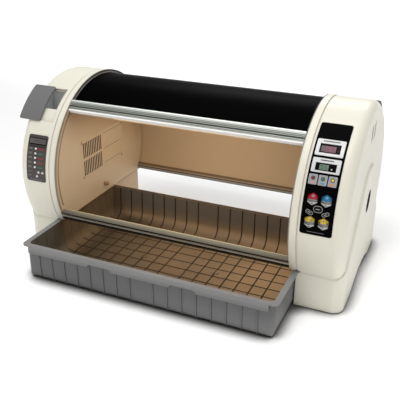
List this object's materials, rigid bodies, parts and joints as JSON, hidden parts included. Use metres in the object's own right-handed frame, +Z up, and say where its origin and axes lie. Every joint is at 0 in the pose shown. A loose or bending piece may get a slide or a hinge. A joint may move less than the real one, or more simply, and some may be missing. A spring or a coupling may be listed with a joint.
{
  "type": "brooder cabinet",
  "caption": "Drum-shaped brooder cabinet for young birds, with a lift-up curved clear door, a pull-out litter tray, control panels on two end housings and sliding water lids.",
  "frame": {"origin": "on the floor, under the middle of the whole object as shown, tray and lids slid out", "axes": "+X to the right as one faces the door, -Y to the front, +Z up"},
  "size_m": [0.708, 0.496, 0.364],
  "materials": {
    "cream_plastic": "semi-gloss moulded",
    "black_sheet": "glossy",
    "tan_plastic": "satin moulded",
    "liner_sheet": "satin",
    "rail_metal": "satin anodised",
    "sill_plastic": "satin",
    "dark_rubber": "matt",
    "pale_trim": "satin",
    "clear_pane": "clear",
    "white_rubber": "matt",
    "grey_plastic": "satin moulded",
    "lid_plastic": "satin moulded",
    "panel_black": "glossy film",
    "panel_grey": "satin film",
    "white_plastic": "glossy",
    "warm_display": "display",
    "damp_display": "display",
    "grey_display": "display",
    "silver_plastic": "satin",
    "red_lens": "clear tinted",
    "green_lens": "clear tinted",
    "amber_lens": "clear tinted",
    "red_key": "glossy dome",
    "blue_key": "glossy dome",
    "yellow_key": "glossy dome",
    "heater_fins": "plain",
    "black_plastic": "satin moulded",
    "tank_plastic": "translucent white",
    "steel": "plain",
    "brass": "plain",
    "circuit_board": "solder mask"
  },
  "bodies": {
    "cabinet": {"left_housing": "cream_plastic", "right_housing": "cream_plastic", "left_inner_wall": "tan_plastic", "right_inner_wall": "tan_plastic", "air_panel": "tan_plastic", "air_panel_screws": "steel", "top_cover": "black_sheet", "inner_liner": "liner_sheet", "cover_rail": "rail_metal", "front_sill": "rail_metal", "rear_sill": "sill_plastic", "edge_gaskets": "dark_rubber", "edge_beads": "pale_trim", "rubber_feet": "dark_rubber", "hand_cups": "black_plastic", "left_panel": "panel_grey", "left_display": "grey_display", "left_lamps": "white_plastic", "right_panel": "panel_black", "temperature_bezel": "white_plastic", "temperature_display": "warm_display", "humidity_bezel": "white_plastic", "humidity_display": "damp_display", "indicator_tiles": "silver_plastic", "red_lamp": "red_lens", "green_lamp": "green_lens", "amber_lamp": "amber_lens", "heater": "heater_fins", "fan_frame": "black_plastic", "water_tank": "tank_plastic", "mist_maker": "black_plastic", "rear_tank": "tank_plastic", "control_board": "circuit_board", "board_standoffs": "brass", "power_supply": "steel", "power_inlet": "black_plastic", "inlet_pins": "brass", "switch_frame": "black_plastic", "temperature_probe": "steel"},
    "door": {"door_pane": "clear_pane", "door_handle": "rail_metal", "door_seal": "white_rubber"},
    "tray": {"tray": "grey_plastic"},
    "water_lid": {"water_lid": "lid_plastic"},
    "rear_lid": {"rear_lid": "lid_plastic"},
    "heat_key": {"heat_key": "red_key"},
    "mist_key": {"mist_key": "blue_key"},
    "fan_key": {"fan_key": "yellow_key"},
    "light_key": {"light_key": "yellow_key"},
    "set_key": {"set_key": "panel_black"},
    "down_key": {"down_key": "panel_black"},
    "up_key": {"up_key": "panel_black"},
    "mode_key": {"mode_key": "white_plastic"},
    "less_key": {"less_key": "white_plastic"},
    "more_key": {"more_key": "white_plastic"},
    "fan_rotor": {"fan_rotor": "black_plastic"},
    "power_rocker": {"power_rocker": "red_key"}
  },
  "joints": [
    {"name": "door_swing", "type": "hinge", "parent": "cabinet", "child": "door", "pos_m": [0, 0.052, 0.168], "axis": [1, 0, 0], "range_deg": [0, 67.25]},
    {"name": "tray_slide", "type": "slide", "parent": "cabinet", "child": "tray", "axis": [0, -1, 0], "range_m": [-0.113, 0.12]},
    {"name": "water_lid_slide", "type": "slide", "parent": "cabinet", "child": "water_lid", "axis": [-1, 0, 0], "range_m": [-0.031, 0.001]},
    {"name": "rear_lid_slide", "type": "slide", "parent": "cabinet", "child": "rear_lid", "axis": [1, 0, 0], "range_m": [-0.02, 0.012]},
    {"name": "heat_key_press", "type": "slide", "parent": "cabinet", "child": "heat_key", "axis": [0, 0.9437, -0.3309], "range_m": [0, 0.001], "stiffness_N_per_m": 400, "springref_m": -0.0005},
    {"name": "mist_key_press", "type": "slide", "parent": "cabinet", "child": "mist_key", "axis": [0, 0.9437, -0.3309], "range_m": [0, 0.001], "stiffness_N_per_m": 400, "springref_m": -0.0005},
    {"name": "fan_key_press", "type": "slide", "parent": "cabinet", "child": "fan_key", "axis": [0, 0.992, -0.1261], "range_m": [0, 0.001], "stiffness_N_per_m": 400, "springref_m": -0.0005},
    {"name": "light_key_press", "type": "slide", "parent": "cabinet", "child": "light_key", "axis": [0, 0.992, -0.1261], "range_m": [0, 0.001], "stiffness_N_per_m": 400, "springref_m": -0.0005},
    {"name": "set_key_press", "type": "slide", "parent": "cabinet", "child": "set_key", "axis": [0, 0.9684, -0.2494], "range_m": [0, 0.001], "stiffness_N_per_m": 400, "springref_m": -0.0005},
    {"name": "down_key_press", "type": "slide", "parent": "cabinet", "child": "down_key", "axis": [0, 0.9768, -0.2144], "range_m": [0, 0.001], "stiffness_N_per_m": 400, "springref_m": -0.0005},
    {"name": "up_key_press", "type": "slide", "parent": "cabinet", "child": "up_key", "axis": [0, 0.9768, -0.2144], "range_m": [0, 0.001], "stiffness_N_per_m": 400, "springref_m": -0.0005},
    {"name": "mode_key_press", "type": "slide", "parent": "cabinet", "child": "mode_key", "axis": [0, 0.9982, -0.0603], "range_m": [0, 0.001], "stiffness_N_per_m": 400, "springref_m": -0.0005},
    {"name": "less_key_press", "type": "slide", "parent": "cabinet", "child": "less_key", "axis": [0, 0.9944, -0.1053], "range_m": [0, 0.001], "stiffness_N_per_m": 400, "springref_m": -0.0005},
    {"name": "more_key_press", "type": "slide", "parent": "cabinet", "child": "more_key", "axis": [0, 0.9944, -0.1053], "range_m": [0, 0.001], "stiffness_N_per_m": 400, "springref_m": -0.0005},
    {"name": "fan_spin", "type": "hinge", "parent": "cabinet", "child": "fan_rotor", "pos_m": [-0.28, 0.0025, 0.184], "axis": [1, 0, 0], "continuous": true},
    {"name": "power_rocker_tip", "type": "hinge", "parent": "cabinet", "child": "power_rocker", "pos_m": [0.28184, 0.224, 0.04796], "axis": [1, 0, 0], "range_deg": [0, 16]}
  ]
}
